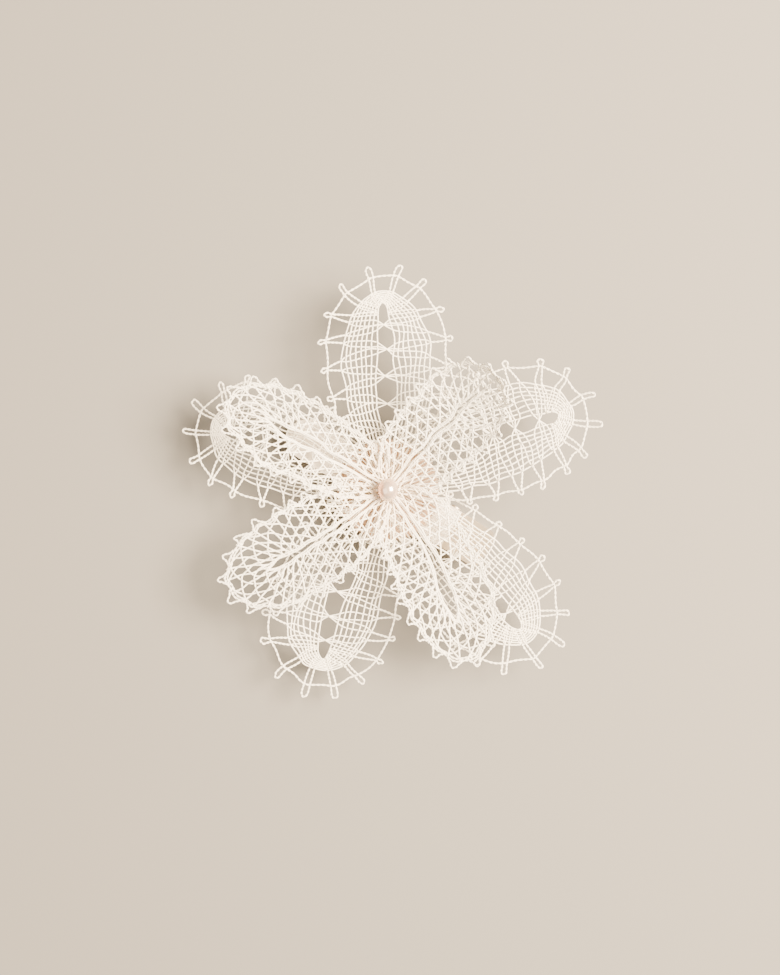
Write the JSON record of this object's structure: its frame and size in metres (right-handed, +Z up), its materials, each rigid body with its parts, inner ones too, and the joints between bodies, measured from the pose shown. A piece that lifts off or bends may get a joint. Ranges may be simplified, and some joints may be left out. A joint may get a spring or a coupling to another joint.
{
  "type": "flower hair clip",
  "caption": "Bobbin-lace flower of outer cloth-stitch and inner half-stitch petals round a pearl, sewn to a felt pad on a sprung alligator hair clip.",
  "frame": {"origin": "on the flat underside of the lower jaw, straight below the pearl's axis", "axes": "+Z up through the flower towards the pearl; the clip's nose points 148 degrees anticlockwise from +X"},
  "size_m": [0.0856, 0.0898, 0.0286],
  "materials": {
    "lace_thread": "matte cotton thread",
    "sewing_thread": "matte sewing thread",
    "felt": "soft wool felt",
    "pearl": "glossy nacre",
    "clip_metal": "satin pale gold plating",
    "spring_steel": "drawn wire"
  },
  "bodies": {
    "flower": {"outer_petal_top": "lace_thread", "outer_petal_right": "lace_thread", "outer_petal_lower_right": "lace_thread", "outer_petal_lower_left": "lace_thread", "outer_petal_left": "lace_thread", "inner_petal_upper_right": "lace_thread", "inner_petal_lower_right": "lace_thread", "inner_petal_lower_left": "lace_thread", "inner_petal_upper_left": "lace_thread", "pearl_bead": "pearl", "bead_thread": "sewing_thread", "gathering_thread": "sewing_thread", "felt_pad": "felt", "clip_lashing": "sewing_thread", "upper_jaw": "clip_metal", "hinge_pin": "clip_metal", "torsion_spring": "spring_steel"},
    "lower_arm": {"lower_jaw": "clip_metal"}
  },
  "joints": [
    {"name": "jaw_hinge", "type": "hinge", "parent": "flower", "child": "lower_arm", "pos_m": [0.01187, -0.00742, 0.0025], "axis": [-0.5299, -0.848, 0], "range_deg": [0, 20], "stiffness_Nm_per_rad": 0.05, "springref_deg": -34.38, "deforming": ["torsion_spring"]}
  ]
}
